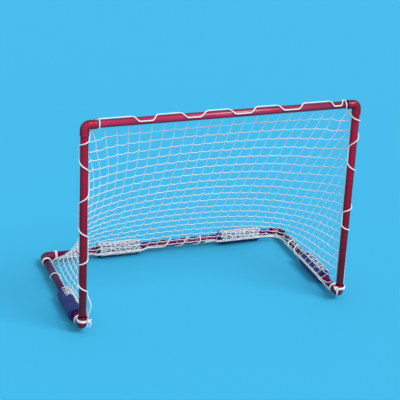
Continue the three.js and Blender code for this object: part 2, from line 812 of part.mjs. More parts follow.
function footKnot(post, angle, leavingAngle) {
  const turn = THREE.MathUtils.euclideanModulo(leavingAngle - angle, 360) / 360;
  const middle = around(post, footTurnTop - endTurnPitch * turn, angle, knotOffset);
  const out = around(post, 0, angle, 1).sub(post.start);
  const across = post.along.clone().cross(out);
  const end = Math.PI * (1 - knotOpenShare);
  const loop = Array.from({ length: knotSteps + 1 }, (unused, step) => {
    const phase = THREE.MathUtils.lerp(-end, end, step / knotSteps);
    return middle.clone()
      .addScaledVector(across, knotUnit * (Math.sin(phase) + 2 * Math.sin(2 * phase)))
      .addScaledVector(post.along, knotUnit * (Math.cos(phase) - 2 * Math.cos(2 * phase)))
      .addScaledVector(out, -knotDepth * Math.sin(3 * phase));
  });
  const hung = (point) => point.clone().addScaledVector(post.along, -knotTail);
  return [hung(loop[0]), ...loop, hung(loop.at(-1))];
}

// Least gap of a cord to itself, between points further apart along it than half a turn
function leastGap(points, radius) {
  const length = points.slice(1).reduce(
    (sum, point, index) => sum + point.distanceTo(points[index]), 0,
  );
  const walk = spaced(points, Math.round(2 * length / radius));
  const apart = Math.ceil(4 * Math.PI);
  let least = Infinity;
  for (let index = 0; index < walk.length; index += 1) {
    for (let other = index + apart; other < walk.length; other += 1) {
      least = Math.min(least, walk[index].distanceTo(walk[other]));
    }
  }
  return least - 2 * radius;
}

const cords = {
  mouth_lacing: mouthLacing,
  left_rail_lacing: leftLacing,
  rear_and_right_rail_lacing: rearAndRightLacing,
  left_foot_knot: footKnot(tubes.left_post, innerAngle / 2, innerAngle),
  right_foot_knot: footKnot(tubes.right_post, innerAngle / 2, outerAngle),
};
for (const [name, points] of Object.entries(cords)) {
  addPart(name, tubeAlong(points, cordRadius, cordSides, false), white, 0.6);
  console.log(`${name}: least gap to itself ${leastGap(points, cordRadius).toFixed(2)} mm`);
}

// Moves the middle of the underside to zero
const box = new THREE.Box3().setFromObject(goal, true);
const middle = box.getCenter(vector(0, 0, 0));
const model = new THREE.Group();
model.add(goal);
goal.position.set(-middle.x, -middle.y, -box.min.z);

export default model;
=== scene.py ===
import bpy
import numpy as np
from mathutils import Matrix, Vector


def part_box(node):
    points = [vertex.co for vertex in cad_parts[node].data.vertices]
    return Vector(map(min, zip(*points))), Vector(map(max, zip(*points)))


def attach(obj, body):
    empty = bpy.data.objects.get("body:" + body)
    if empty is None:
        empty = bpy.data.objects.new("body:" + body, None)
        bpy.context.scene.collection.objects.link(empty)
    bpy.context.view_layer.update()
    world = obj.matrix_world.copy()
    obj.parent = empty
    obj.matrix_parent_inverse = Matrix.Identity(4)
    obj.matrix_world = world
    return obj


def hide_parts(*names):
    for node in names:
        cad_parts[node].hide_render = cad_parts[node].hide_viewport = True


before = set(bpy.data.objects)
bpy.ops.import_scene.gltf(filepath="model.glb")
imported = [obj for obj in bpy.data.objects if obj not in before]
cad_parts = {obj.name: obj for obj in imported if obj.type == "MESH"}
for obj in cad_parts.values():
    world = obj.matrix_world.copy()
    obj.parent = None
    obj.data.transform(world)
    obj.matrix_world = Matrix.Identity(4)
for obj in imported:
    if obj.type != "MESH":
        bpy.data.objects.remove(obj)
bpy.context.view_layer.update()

# Tubes. Six straight lengths of rigid plastic pipe in glossy raspberry red, sawn square and
# pushed into the elbows. The two posts and the crossbar make the mouth, and three rails make
# a base that is open at the front.
mm = 0.001
pipe_radius = 16.7 * mm
pipe_bore = 13.3 * mm
pipe_rim = 0.6 * mm
pipe_sides = 64


def srgb(red, green, blue):
    """A colour given from 0 to 255 as screens show it, as the linear light that shaders use."""
    share = np.array([red, green, blue]) / 255
    linear = np.where(share <= 0.04045, share / 12.92, ((share + 0.055) / 1.055) ** 2.4)
    return (*linear.tolist(), 1.0)


def unit(vectors):
    """Vectors divided by their lengths."""
    return vectors / np.linalg.norm(vectors, axis=-1, keepdims=True)


def ring_faces(rings, sides, closed):
    """Four-cornered faces between neighbouring rings of points, each ring closing on itself."""
    ring = np.arange(rings if closed else rings - 1)[:, None]
    side = np.arange(sides)[None, :]
    here, there = ring * sides, (ring + 1) % rings * sides
    after = (side + 1) % sides
    corners = [here + side, here + after, there + after, there + side]
    return np.stack([np.broadcast_to(c, (len(ring), sides)) for c in corners], -1).reshape(-1, 4)


def add_piece(name, points, faces, caps, material, slot, *nodes):
    """A mesh piece that rides on the frame and stands for its CAD nodes. The sign of the volume
    between its faces and the origin tells whether they have to be turned to face outwards."""
    a, b, c, d = (points[faces[:, k]] for k in range(4))
    volume = np.sum(a * np.cross(b, c)) + np.sum(a * np.cross(c, d))
    if volume < 0:
        faces = faces[:, ::-1]
        caps = [cap[::-1] for cap in caps]
    mesh = bpy.data.meshes.new(name)
    mesh.from_pydata(points.tolist(), [], faces.tolist() + caps)
    mesh.polygons.foreach_set("use_smooth", np.ones(len(mesh.polygons), dtype=bool))
    mesh.materials.append(material)
    mesh.update()
    piece = bpy.data.objects.new(name, mesh)
    bpy.context.scene.collection.objects.link(piece)
    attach(piece, "root")
    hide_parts(*nodes)
    return piece


def revolve(profile, start, along, sides):
    """Turns a closed profile of [radius, distance] round an axis: each profile point becomes a
    ring of points at its radius, its distance along the axis."""
    aslant = [0.31, 0.52, 0.79]
    across = unit(np.cross(along, aslant))
    beside = np.cross(along, across)
    angle = 2 * np.pi * np.arange(sides) / sides
    round_axis = np.cos(angle)[:, None] * across + np.sin(angle)[:, None] * beside
    radius, distance = np.asarray(profile).T
    points = start + distance[:, None, None] * along + radius[:, None, None] * round_axis
    return points.reshape(-1, 3), ring_faces(len(profile), sides, True)


def node_group(name, inputs, outputs):
    """An empty shader node group with named sockets and its input and output nodes."""
    group = bpy.data.node_groups.new(name, "ShaderNodeTree")
    for label, kind, value in inputs:
        socket = group.interface.new_socket(label, in_out="INPUT", socket_type=kind)
        socket.default_value = value
    for label, kind in outputs:
        group.interface.new_socket(label, in_out="OUTPUT", socket_type=kind)
    return group, group.nodes.new("NodeGroupInput"), group.nodes.new("NodeGroupOutput")


def noise(tree, vector, scale, detail):
    """A noise texture on object coordinates, scaled in repeats to the metre."""
    texture = tree.nodes.new("ShaderNodeTexNoise")
    texture.inputs["Scale"].default_value = scale
    texture.inputs["Detail"].default_value = detail
    tree.links.new(vector, texture.inputs["Vector"])
    return texture.outputs["Fac"]


def between(tree, value, low, high, to_low, to_high):
    """A value mapped from one range to another and kept inside it."""
    ranged = tree.nodes.new("ShaderNodeMapRange")
    limits = {"From Min": low, "From Max": high, "To Min": to_low, "To Max": to_high}
    for label, number in limits.items():
        ranged.inputs[label].default_value = number
    tree.links.new(value, ranged.inputs["Value"])
    return ranged.outputs["Result"]


def blend_colour(tree, share, first, second):
    """A mix of two colours or colour sockets by a share from 0 to 1. The mix node has its
    colour sockets after those for numbers and vectors."""
    mix = tree.nodes.new("ShaderNodeMix")
    mix.data_type = "RGBA"
    tree.links.new(share, mix.inputs["Factor"])
    first_socket, second_socket, mixed = mix.inputs[6], mix.inputs[7], mix.outputs[2]
    for socket, colour in ((first_socket, first), (second_socket, second)):
        if isinstance(colour, tuple):
            socket.default_value = colour
        else:
            tree.links.new(colour, socket)
    return mixed


def bump(tree, height, strength, depth):
    """A surface normal bumped by a height from 0 to 1 that stands for a depth."""
    bumped = tree.nodes.new("ShaderNodeBump")
    bumped.inputs["Strength"].default_value = strength
    bumped.inputs["Distance"].default_value = depth
    tree.links.new(height, bumped.inputs["Height"])
    return bumped.outputs["Normal"]


def new_material(name, roughness, **sockets):
    """A material with one principled shader, whose fixed values are set on its own sockets."""
    material = bpy.data.materials.new(name)
    material.use_nodes = True
    tree = material.node_tree
    shader = tree.nodes["Principled BSDF"]
    shader.inputs["Roughness"].default_value = roughness
    for label, value in sockets.items():
        shader.inputs[label.replace("_", " ")].default_value = value
    coordinates = tree.nodes.new("ShaderNodeTexCoord").outputs["Object"]
    return material, tree, shader, coordinates


# The sun-bleached, rubbed skin that the pipe and the fittings share: a slow change of shade,
# fine scuffs in the gloss and a faint waviness of the surface, each in repeats to the metre
bleach_scale, scuff_scale, ripple_scale = 9, 140, 260
ripple_strength, ripple_depth = 0.12, 0.4 * mm
weathered, weathered_in, weathered_out = node_group(
    "weathered plastic",
    [
        ("Colour", "NodeSocketColor", (0.5, 0.5, 0.5, 1)),
        ("Bleached colour", "NodeSocketColor", (0.6, 0.6, 0.6, 1)),
        ("Clean roughness", "NodeSocketFloat", 0.25),
        ("Vector", "NodeSocketVector", (0, 0, 0)),
    ],
    [
        ("Colour", "NodeSocketColor"),
        ("Roughness", "NodeSocketFloat"),
        ("Normal", "NodeSocketVector"),
    ],
)
place = weathered_in.outputs["Vector"]
bleach = between(weathered, noise(weathered, place, bleach_scale, 3), 0.4, 0.8, 0, 0.5)
shade = blend_colour(
    weathered, bleach, weathered_in.outputs["Colour"], weathered_in.outputs["Bleached colour"],
)
scuff = between(weathered, noise(weathered, place, scuff_scale, 4), 0.45, 0.7, 0, 0.16)
scuffed = weathered.nodes.new("ShaderNodeMath")
scuffed.operation = "ADD"
weathered.links.new(weathered_in.outputs["Clean roughness"], scuffed.inputs[0])
weathered.links.new(scuff, scuffed.inputs[1])
ripple = bump(weathered, noise(weathered, place, ripple_scale, 2), ripple_strength, ripple_depth)
weathered.links.new(shade, weathered_out.inputs["Colour"])
weathered.links.new(scuffed.outputs[0], weathered_out.inputs["Roughness"])
weathered.links.new(ripple, weathered_out.inputs["Normal"])

# The share of turning away where the painted edge shade sets in, where it is full, and how full
turning_from, turned_by, edge_share = 0.08, 0.5, 0.95


def red_plastic(name, colour, bleached, edge, roughness, shine):
    """Glossy red pipe plastic in a given shade, darkened towards an edge colour where the surface
    turns away from the view: painted shade.
    """
    material, tree, shader, coordinates = new_material(
        name, roughness, Specular_IOR_Level=shine, Coat_Weight=0.05, Coat_Roughness=0.1,
    )
    skin = tree.nodes.new("ShaderNodeGroup")
    skin.node_tree = weathered
    skin.inputs["Colour"].default_value = colour
    skin.inputs["Bleached colour"].default_value = bleached
    skin.inputs["Clean roughness"].default_value = roughness
    tree.links.new(coordinates, skin.inputs["Vector"])
    # Painted shade: the colour deepens to the edge colour as the surface turns away from the view
    facing = tree.nodes.new("ShaderNodeLayerWeight")
    facing.inputs["Blend"].default_value = 0.5
    painted_edge_shade = between(
        tree, facing.outputs["Facing"], turning_from, turned_by, 0, edge_share,
    )
    depth = blend_colour(tree, painted_edge_shade, skin.outputs["Colour"], edge)
    tree.links.new(depth, shader.inputs["Base Color"])
    tree.links.new(skin.outputs["Roughness"], shader.inputs["Roughness"])
    tree.links.new(skin.outputs["Normal"], shader.inputs["Normal"])
    return material


post_red = red_plastic(
    "post red", srgb(170, 2, 50), srgb(188, 16, 74), srgb(54, 1, 26), roughness=0.22, shine=0.22,
)
# The crossbar's red is lighter and pinker than the posts': a painted highlight
bar_red_painted_highlight = red_plastic(
    "crossbar red with painted highlight", srgb(186, 24, 84), srgb(210, 66, 118), srgb(54, 1, 32), roughness=0.2, shine=0.4,
)
# The rails' red is darker and purple: painted shade, with a painted reflection of blue water
rail_red_painted_shade = red_plastic(
    "rail red with painted shade", srgb(106, 2, 78), srgb(134, 22, 102), srgb(66, 1, 78), roughness=0.22, shine=0.08,
)


def middle(node):
    """The middle of a CAD node's box."""
    low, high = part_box(node)
    return (np.array(low) + np.array(high)) / 2


# The frame's size and place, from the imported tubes
left_x, right_x = middle("left_post")[0], middle("right_post")[0]
mouth_y, rear_y = middle("crossbar")[1], middle("rear_rail")[1]
base_z, top_z = middle("rear_rail")[2], middle("crossbar")[2]
mouth_width, base_depth, mouth_height = right_x - left_x, rear_y - mouth_y, top_z - base_z
x_axis, y_axis, z_axis = np.eye(3)


def tube_axis(x, y, z, along, length, front, side):
    """A tube's axis: its start, its direction, its length, and the directions at 0 and 90
    degrees round it."""
    return {
        "start": np.array([x, y, z]), "along": along, "length": length,
        "front": front, "side": side,
    }


tubes = {
    "left_post": tube_axis(left_x, mouth_y, base_z, z_axis, mouth_height, -y_axis, -x_axis),
    "right_post": tube_axis(right_x, mouth_y, base_z, z_axis, mouth_height, -y_axis, x_axis),
    "crossbar": tube_axis(left_x, mouth_y, top_z, x_axis, mouth_width, -y_axis, z_axis),
    "left_side_rail": tube_axis(left_x, mouth_y, base_z, y_axis, base_depth, x_axis, z_axis),
    "right_side_rail": tube_axis(right_x, mouth_y, base_z, y_axis, base_depth, -x_axis, z_axis),
    "rear_rail": tube_axis(left_x, rear_y, base_z, x_axis, mouth_width, -y_axis, z_axis),
}
tube_reds = {"left_post": post_red, "right_post": post_red, "crossbar": bar_red_painted_highlight}
bend_radius = 22 * mm
end_gap = 0.3 * mm
for node, tube in tubes.items():
    length = tube["length"] - 2 * (bend_radius + end_gap)
    pipe_profile = [
        [pipe_radius, pipe_rim], [pipe_radius, length - pipe_rim],
        [pipe_radius - pipe_rim, length], [pipe_bore, length],
        [pipe_bore, 0], [pipe_radius - pipe_rim, 0],
    ]
    start = tube["start"] + (bend_radius + end_gap) * tube["along"]
    points, faces = revolve(pipe_profile, start, tube["along"], pipe_sides)
    add_piece(f"{node}_pipe", points, faces, [], tube_reds.get(node, rail_red_painted_shade), "tube", node)

# Elbows. Six right-angle socket fittings of the same red plastic, moulded with a stiffening
# bead round the mouth of each socket. The pipes seat on a stop where the bend begins.
socket_radius = 17.0 * mm
barrel_radius = 19.6 * mm
bead_radius = 20.1 * mm
socket_end = 46 * mm
bead_width = 5 * mm
bead_slope = 1.4 * mm
lip = 0.9 * mm
lip_steps, neck_steps, bend_steps = 5, 5, 20
elbow_sides = 72


def elbow_rings(corner, first, second):
    """Rings of the fitting from its first socket's mouth round the outside to the second's,
    and back through the sockets and the waterway. Round the bend each ring is square to an
    arc from the first arm to the second, so its radius and its place turn together."""
    out = np.cross(second, first)
    mouth = [
        [socket_end - lip + lip * np.cos(a), bead_radius - lip + lip * np.sin(a)]
        for a in np.linspace(0, np.pi / 2, lip_steps)
    ]
    neck = []
    for s in np.linspace(0, 1, neck_steps):
        step_down = (bead_radius - barrel_radius) * (3 - 2 * s) * s * s
        neck.append([socket_end - bead_width - bead_slope * s, bead_radius - step_down])
    outside = mouth + neck + [[bend_radius, barrel_radius]]
    inside = [
        [bend_radius, pipe_bore], [bend_radius, socket_radius],
        [socket_end - lip, socket_radius], [socket_end, socket_radius + lip],
    ]
    angle = 2 * np.pi * np.arange(elbow_sides) / elbow_sides

    def ring(centre, outward, radius):
        round_centre = np.cos(angle)[:, None] * outward + np.sin(angle)[:, None] * out
        return centre + radius * round_centre

    def bend(step, radius):
        turn = np.pi / 2 * step / bend_steps
        outward = -np.sin(turn) * first - np.cos(turn) * second
        return ring(bend_radius * (first + second + outward), outward, radius)

    steps = range(1, bend_steps)
    rings = [ring(d * first, -second, r) for d, r in outside]
    rings += [bend(step, barrel_radius) for step in steps]
    rings += [ring(d * second, -first, r) for d, r in outside[::-1]]
    rings += [ring(d * second, -first, r) for d, r in inside[::-1]]
    rings += [bend(step, pipe_bore) for step in reversed(steps)]
    rings += [ring(d * first, -second, r) for d, r in inside]
    return corner + np.array(rings)


elbow_red = red_plastic(
    "elbow red", srgb(174, 5, 52), srgb(202, 44, 100), srgb(50, 1, 30), roughness=0.18, shine=0.28,
)
# The rear base elbows' red is darker and purple, as the rails' is: painted shade, with a painted
# reflection of blue water
base_elbow_red_painted_shade = red_plastic(
    "base elbow red with painted shade", srgb(140, 4, 66), srgb(168, 30, 92), srgb(66, 1, 50), roughness=0.18, shine=0.2,
)
elbows = {
    "top_left_elbow": ((left_x, mouth_y, top_z), x_axis, -z_axis, elbow_red),
    "top_right_elbow": ((right_x, mouth_y, top_z), -x_axis, -z_axis, elbow_red),
    "front_left_elbow": ((left_x, mouth_y, base_z), y_axis, z_axis, elbow_red),
    "front_right_elbow": ((right_x, mouth_y, base_z), y_axis, z_axis, elbow_red),
    "rear_left_elbow": ((left_x, rear_y, base_z), -y_axis, x_axis, base_elbow_red_painted_shade),
    "rear_right_elbow": ((right_x, rear_y, base_z), -y_axis, -x_axis, base_elbow_red_painted_shade),
}
for node, (corner, first, second, red) in elbows.items():
    rings = elbow_rings(np.array(corner), first, second)
    faces = ring_faces(len(rings), elbow_sides, True)
    add_piece(f"{node}_fitting", rings.reshape(-1, 3), faces, [], red, "elbow", node)

# Floats. Four sleeves of closed-cell foam with a dark navy skin, cut to length from a tube of
# foam and pushed over the base rails. The skin is softly dented and its ends are rounded.
float_radius = 35 * mm
skin_radius = 34.5 * mm
float_bore = 17 * mm
float_edge = 6 * mm
float_sides = 96
dent_waves, dent_height, dent_inset = 9, 0.18 * mm, 0.35 * mm
dent_along, dent_round = (1, 9), (1, 6)


def foam_skin(distance, angle, length, seed):
    """How far the skin sinks in from a true cylinder: a sum of slow waves along and round it,
    let in by a little and never standing out."""
    waves = np.random.default_rng(seed)
    dent = np.zeros(np.broadcast(distance, angle).shape)
    for _ in range(dent_waves):
        along_waves = waves.uniform(*dent_along)
        round_waves = waves.integers(*dent_round)
        phase = waves.uniform(0, 2 * np.pi, 2)
        along_part = np.cos(2 * np.pi * along_waves * distance / length + phase[0])
        dent += along_part * np.cos(round_waves * angle + phase[1])
    return np.minimum(dent * dent_height - dent_inset, 0)


shade_scale, cell_scale = 22, 1100
cell_strength, cell_depth = 0.35, 0.5 * mm
foam, foam_tree, foam_shader, foam_place = new_material(
    "navy foam", roughness=0.62, Specular_IOR_Level=0.35,
)
faded = between(foam_tree, noise(foam_tree, foam_place, shade_scale, 4), 0.3, 0.75, 0, 1)
foam_shade = blend_colour(foam_tree, faded, srgb(22, 38, 100), srgb(38, 64, 138))
foam_cells = noise(foam_tree, foam_place, cell_scale, 2)
foam_speckle = between(foam_tree, foam_cells, 0.62, 0.72, 0, 0.25)
foam_colour = blend_colour(foam_tree, foam_speckle, foam_shade, srgb(86, 106, 160))
foam_normal = bump(foam_tree, foam_cells, cell_strength, cell_depth)
foam_tree.links.new(foam_colour, foam_shader.inputs["Base Color"])
foam_tree.links.new(foam_normal, foam_shader.inputs["Normal"])

float_rails = {
    "left_float": "left_side_rail", "right_float": "right_side_rail",
    "rear_left_float": "rear_rail", "rear_right_float": "rear_rail",
}
float_starts = {}
edge_steps, skin_steps = 7, 60
for seed, (node, rail) in enumerate(float_rails.items()):
    tube = tubes[rail]
    low, high = (np.array(corner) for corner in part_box(node))
    float_starts[node] = float((low - tube["start"]) @ tube["along"])
    length = float((high - low) @ tube["along"])
    near = [
        [skin_radius - float_edge + float_edge * np.sin(a), float_edge * (1 - np.cos(a))]
        for a in np.linspace(0, np.pi / 2, edge_steps)
    ]
    stops = np.linspace(2 * float_edge, length - 2 * float_edge, skin_steps)
    skin = [[skin_radius, d] for d in stops]
    far = [[r, length - d] for r, d in near[::-1]]
    profile = np.array([[float_bore, 0]] + near + skin + far + [[float_bore, length]])
    start = tube["start"] + float_starts[node] * tube["along"]
    points, faces = revolve(profile, start, tube["along"], float_sides)
    grid = points.reshape(len(profile), float_sides, 3)
    axis_points = start + profile[:, 1, None] * tube["along"]
    outward = unit(grid - axis_points[:, None])
    angle = 2 * np.pi * np.arange(float_sides)[None] / float_sides
    reach = np.clip((profile[:, 0, None] - float_bore) / (skin_radius - float_bore), 0, 1)
    grid = grid + (foam_skin(profile[:, 1, None], angle, length, seed) * reach)[..., None] * outward
    piece = add_piece(f"{node}_foam", grid.reshape(-1, 3), faces, [], foam, "float", node)
float_length = float(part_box("left_float")[1][1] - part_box("left_float")[0][1])

# Border rope. A white rope, laid from three strands, that edges the whole net. It lies
# inside and behind the mouth tubes and on the inner side of the rails and floats, higher round
# the right float than elsewhere, and it cuts each corner in a curve.
rope_radius = 2.0 * mm
rope_gap = 0.4 * mm
rope_offset = pipe_radius + rope_gap + rope_radius
rope_float_offset = float_radius + rope_gap + rope_radius
rope_diagonal = rope_offset / np.sqrt(2)
front_cut, foot_cut, rear_cut = 90 * mm, 110 * mm, 95 * mm
rope_margin, rope_blend = 8 * mm, 30 * mm
right_hem_rise = 28
rope_pitch, rope_strands = 13 * mm, 3
rope_step, rope_easing, rope_sides = 1.6 * mm, 5, 15
strand_depth = 0.16
post_steps, rail_steps, rear_steps = 40, 60, 160
least_step = 0.05 * mm


def around(tube, distance, angle, radius):
    """Points at distances along a tube, at angles in degrees from its front and at radii from
    its axis, each with the direction that points away from the axis."""
    distance, angle, radius = np.broadcast_arrays(*map(np.atleast_1d, (distance, angle, radius)))
    turn = np.radians(angle)[:, None]
    outward = np.cos(turn) * tube["front"] + np.sin(turn) * tube["side"]
    points = tube["start"] + distance[:, None] * tube["along"] + radius[:, None] * outward
    return np.hstack([points, outward])


def bend_between(before, control, after, steps=24):
    """A quadratic curve from one point to another, drawn towards a control point."""
    share = np.linspace(0, 1, steps + 1)[:, None]
    return (1 - share) ** 2 * before + 2 * share * (1 - share) * control + share ** 2 * after


def float_share(distance, starts, beyond_only):
    """How far the rope has gone over from the bare tube, at 0, to a float, at 1: an eased rise."""
    share = np.zeros_like(distance)
    for start in starts:
        before = start - rope_margin - distance
        after = distance - start - float_length - rope_margin
        outside = np.maximum(after if beyond_only else np.maximum(before, after), 0)
        ease = np.clip(outside / rope_blend, 0, 1)
        share = np.maximum(share, 1 - ease * ease * (3 - 2 * ease))
    return share


def stand_off(share):
    """The rope's distance from a rail's axis, from the bare tube to a float."""
    return rope_offset + (rope_float_offset - rope_offset) * share


rear_starts = sorted([float_starts["rear_left_float"], float_starts["rear_right_float"]])
rear_rope_start = rope_offset + rear_cut
side_rope_from = rope_diagonal + foot_cut
side_rope_to = base_depth - rope_offset - rear_cut


def side_rope(rail, start, rise):
    """One side of the rope in five stretches: top corner, post, foot, rail and rear corner. It
    rises by so many degrees round the float on that side."""
    tube = tubes[rail]
    inward = tube["front"]
    post = tube["start"] + rope_diagonal * (inward + y_axis)
    top = post + (mouth_height - rope_diagonal) * z_axis
    down, across = top - front_cut * z_axis, top + front_cut * inward
    foot = post + foot_cut * z_axis
    knee = around(tube, rope_diagonal, rise, rope_float_offset)[0, :3]
    stops = np.linspace(side_rope_from, side_rope_to, rail_steps)
    share = float_share(stops, [start], True)
    on_rail = around(tube, stops, rise * share, stand_off(share))[:, :3]
    along_rear = rear_rope_start if inward[0] > 0 else mouth_width - rear_rope_start
    beyond_offset = stand_off(float_share(np.array([along_rear]), rear_starts, False))[0]
    rear = around(tube, base_depth - beyond_offset, 0, rope_offset)[0, :3]
    beyond = rear + rear_cut * inward
    return {
        "top": bend_between(across, top, down),
        "post": np.linspace(down, foot, post_steps),
        "foot": bend_between(foot, knee, on_rail[0]),
        "rail": on_rail,
        "rear": bend_between(on_rail[-1], rear, beyond),
    }


left_rope = side_rope("left_side_rail", float_starts["left_float"], 0)
right_rope = side_rope("right_side_rail", float_starts["right_float"], right_hem_rise)
rear_stops = np.linspace(rear_rope_start, mouth_width - rear_rope_start, rear_steps)
rear_shares = float_share(rear_stops, rear_starts, False)
rear_rope = around(tubes["rear_rail"], rear_stops, 0, stand_off(rear_shares))[:, :3]


def chained(*stretches):
    """Stretches of points joined end to end, without points that coincide."""
    points = np.concatenate(stretches)
    step = np.linalg.norm(np.diff(points[:, :3], axis=0), axis=1)
    return points[np.concatenate([[True], step > least_step])]


def distances(path):
    """The distance along a path at each of its points."""
    return np.concatenate([[0], np.cumsum(np.linalg.norm(np.diff(path[:, :3], axis=0), axis=1))])


def split(path, cells):
    """A path's points, and what goes with each, at the ends of equal cells along it."""
    length = distances(path)
    wanted = np.linspace(0, length[-1], cells + 1)
    return np.stack([np.interp(wanted, length, column) for column in path.T], -1)


def spaced(path, step, closed=False):
    """A path split into equal cells as near as they come to a step."""
    if closed:
        path = np.vstack([path, path[:1]])
    even = split(path, max(int(round(distances(path)[-1] / step)), 2))
    return even[:-1] if closed else even


def eased(path, reach, closed=False):
    """A path rounded by averaging each point with its neighbours, heaviest in the middle."""
    weights = np.hanning(2 * reach + 3)[1:-1]
    weights = weights / weights.sum()
    if closed:
        padded = np.vstack([path[-reach:], path, path[:reach]])
    else:
        first = 2 * path[0] - path[1:reach + 1][::-1]
        last = 2 * path[-1] - path[-reach - 1:-1][::-1]
        padded = np.vstack([first, path, last])
    return np.stack([np.convolve(column, weights, mode="valid") for column in padded.T], -1)


def swept(path, radius_at, sides, closed=False):
    """Rings of points round a path whose columns 3 to 5 point away from what the cord lies on.
    radius_at gives the radius from the angle round the cord and the distance along it."""
    centre, outward = path[:, :3], path[:, 3:]
    if closed:
        tangent = unit(np.roll(centre, -1, 0) - np.roll(centre, 1, 0))
    else:
        tangent = unit(np.gradient(centre, axis=0))
    outward = unit(outward - np.sum(outward * tangent, 1, keepdims=True) * tangent)
    beside = np.cross(tangent, outward)
    angle = 2 * np.pi * np.arange(sides)[None] / sides
    radius = radius_at(angle, distances(path)[:, None])[..., None]
    turned = np.cos(angle)[..., None] * outward[:, None]
    turned = turned + np.sin(angle)[..., None] * beside[:, None]
    rings = centre[:, None] + radius * turned
    faces = ring_faces(len(path), sides, closed)
    last = (len(path) - 1) * sides
    caps = [] if closed else [list(range(sides))[::-1], list(range(last, last + sides))]
    return rings.reshape(-1, 3), faces, caps


# The fibre look that rope, cord and twine share: an uneven white, soiled in patches, with fine
# fibre bumps
soil_scale, fibre_strength, fibre_depth = 30, 0.5, 0.3 * mm
fibre, fibre_in, fibre_out = node_group(
    "fibre",
    [
        ("Clean colour", "NodeSocketColor", (0.9, 0.9, 0.9, 1)),
        ("Soiled colour", "NodeSocketColor", (0.7, 0.7, 0.7, 1)),
        ("Fibre scale", "NodeSocketFloat", 900.0),
        ("Vector", "NodeSocketVector", (0, 0, 0)),
    ],
    [("Colour", "NodeSocketColor"), ("Normal", "NodeSocketVector")],
)
soil = between(fibre, noise(fibre, fibre_in.outputs["Vector"], soil_scale, 4), 0.4, 0.8, 0, 1)
fibre_noise = fibre.nodes.new("ShaderNodeTexNoise")
fibre_noise.inputs["Detail"].default_value = 2
fibre.links.new(fibre_in.outputs["Vector"], fibre_noise.inputs["Vector"])
fibre.links.new(fibre_in.outputs["Fibre scale"], fibre_noise.inputs["Scale"])
fibre_normal = bump(fibre, fibre_noise.outputs["Fac"], fibre_strength, fibre_depth)
fibre_colour = blend_colour(
    fibre, soil, fibre_in.outputs["Clean colour"], fibre_in.outputs["Soiled colour"],
)
fibre.links.new(fibre_colour, fibre_out.inputs["Colour"])
fibre.links.new(fibre_normal, fibre_out.inputs["Normal"])


def white_fibre(name, clean, soiled, scale):
    """White rope, cord or twine with its own fibre scale."""
    material, tree, shader, coordinates = new_material(
        name, roughness=0.72, Sheen_Weight=0.15, Sheen_Roughness=0.5,
    )
    look = tree.nodes.new("ShaderNodeGroup")
    look.node_tree = fibre
    look.inputs["Clean colour"].default_value = clean
    look.inputs["Soiled colour"].default_value = soiled
    look.inputs["Fibre scale"].default_value = scale
    tree.links.new(coordinates, look.inputs["Vector"])
    tree.links.new(look.outputs["Colour"], shader.inputs["Base Color"])
    tree.links.new(look.outputs["Normal"], shader.inputs["Normal"])
    return material


rope_white = white_fibre("white rope", srgb(246, 246, 246), srgb(222, 226, 230), scale=1100.0)
border_path = chained(
    left_rope["top"], left_rope["post"], left_rope["foot"], left_rope["rail"], left_rope["rear"],
    rear_rope, right_rope["rear"][::-1], right_rope["rail"][::-1], right_rope["foot"][::-1],
    right_rope["post"][::-1], right_rope["top"][::-1],
)
rope_hint = np.tile([0.41, 0.53, 0.74], (len(border_path), 1))
rope_walk = spaced(np.hstack([border_path, rope_hint]), rope_step, True)
rope_walk = eased(rope_walk, rope_easing, True)


def laid(radius, pitch, strands):
    """The radius of laid rope: as many round lobes as strands, turning with the lay."""
    def radius_at(angle, distance):
        lobe = np.abs(np.cos(strands / 2 * (angle - 2 * np.pi * distance / pitch)))
        return radius * (1 - strand_depth + strand_depth * lobe)
    return radius_at


rope_lay = laid(rope_radius, rope_pitch, rope_strands)
points, faces, caps = swept(rope_walk, rope_lay, rope_sides, True)
add_piece("border_rope_laid", points, faces, caps, rope_white, "cord", "border_rope")

# Net. White twine knotted into square meshes and hung slack. Rows run from post to post, and
# each lower row gains meshes at its ends, so that the lowest follows both side rails too.
twine_radius = 1.7 * mm
knot_radius = 3.5 * mm
mouth_cells, slope_cells, side_cells = 22, 19, 13
net_weight = 1.0 * mm
settle_rounds = 6
least_pull, most_pull, pull_power = 0.2, 5, 0.5


def halves(curve):
    """A corner's curve cut at its middle."""
    half = len(curve) // 2
    return curve[:half + 1], curve[half:]


def side_border(rope, post_cells, rail_cells):
    """The net's fixed points down a post, and back along a rail from the foot."""
    post = chained(halves(rope["top"])[1], rope["post"], halves(rope["foot"])[0])
    rail = chained(halves(rope["foot"])[1], rope["rail"], halves(rope["rear"])[0])
    return split(post, post_cells), split(rail, rail_cells)


left_post_border, left_rail_border = side_border(left_rope, slope_cells, side_cells)
right_post_border, right_rail_border = side_border(right_rope, slope_cells, side_cells)
top_edge = chained(halves(left_rope["top"])[0][::-1], halves(right_rope["top"])[0])
rear_edge = chained(halves(left_rope["rear"])[1], rear_rope, halves(right_rope["rear"])[1][::-1])

